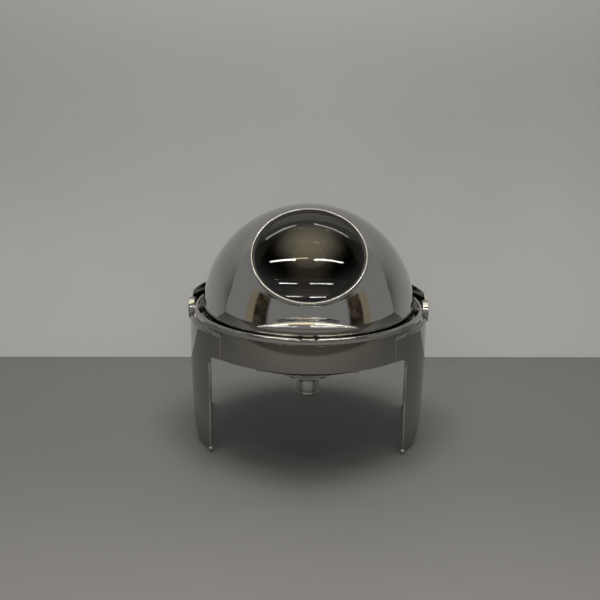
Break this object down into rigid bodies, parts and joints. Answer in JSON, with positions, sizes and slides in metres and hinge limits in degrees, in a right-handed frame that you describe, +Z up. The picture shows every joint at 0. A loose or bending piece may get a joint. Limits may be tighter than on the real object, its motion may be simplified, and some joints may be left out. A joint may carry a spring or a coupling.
{
  "type": "roll top chafer",
  "caption": "Round roll top chafing dish: a polished hemispherical lid with a domed window rolls back over a food pan, water pan and small burner on a legged stand.",
  "frame": {"origin": "on the floor, under the middle of the outline seen from above", "axes": "+Z up, the front (window and handle) towards -Y, the lid's axis along X"},
  "size_m": [0.485, 0.4929, 0.4658],
  "materials": {
    "polished_steel": "mirror polished stainless steel",
    "satin_steel": "satin drawn stainless steel",
    "plain_steel": "plain machined steel",
    "smoked_glass": "smoked tempered glass",
    "black_silicone": "matt",
    "grey_silicone": "matt",
    "black_nylon": "moulded",
    "cotton_wick": "braided"
  },
  "bodies": {
    "stand": {"skirt_band": "polished_steel", "rim_bead": "polished_steel", "side_frame_left": "polished_steel", "side_frame_right": "polished_steel", "leg_edge_rods": "polished_steel", "ball_feet": "polished_steel", "seam_clips": "polished_steel", "band_rivets": "plain_steel", "pivot_housing_left": "polished_steel", "pivot_housing_right": "polished_steel", "pivot_cap_left": "polished_steel", "pivot_cap_right": "polished_steel", "spindle_left": "plain_steel", "spindle_right": "plain_steel", "friction_washers": "plain_steel", "support_ring": "satin_steel", "rear_guard": "polished_steel", "front_bridge": "satin_steel", "lid_rest_pads": "grey_silicone", "water_pan": "satin_steel", "burner_hanger": "satin_steel", "burner_plate": "satin_steel", "hanger_screws": "plain_steel", "cup_clips": "satin_steel", "snuffer_pin": "plain_steel"},
    "roll_top": {"dome_shell": "polished_steel", "dome_hem": "polished_steel", "window_bezel": "polished_steel", "window_glass": "smoked_glass", "window_gasket": "black_silicone", "hinge_lug_left": "satin_steel", "hinge_lug_right": "satin_steel", "lug_rivets": "plain_steel", "pivot_bush_left": "black_nylon", "pivot_bush_right": "black_nylon", "handle_grip": "polished_steel", "handle_mount": "polished_steel", "handle_screws": "plain_steel"},
    "food_pan": {"food_pan": "satin_steel"},
    "burner": {"fuel_cup": "satin_steel", "cup_neck": "satin_steel", "wick": "cotton_wick"},
    "snuffer": {"snuffer_lid": "satin_steel"}
  },
  "joints": [
    {"name": "roll_top_hinge", "type": "hinge", "parent": "stand", "child": "roll_top", "pos_m": [0, 0.01624, 0.252], "axis": [-1, 0, 0], "range_deg": [0, 160]},
    {"name": "food_pan_lift", "type": "slide", "parent": "stand", "child": "food_pan", "axis": [0, 0, 1], "range_m": [0, 0.05]},
    {"name": "burner_drop", "type": "slide", "parent": "stand", "child": "burner", "axis": [0, 0, -1], "range_m": [0, 0.022]},
    {"name": "snuffer_hinge", "type": "hinge", "parent": "stand", "child": "snuffer", "pos_m": [0, -0.00826, 0.1266], "axis": [0, 0, 1], "range_deg": [0, 90]}
  ]
}
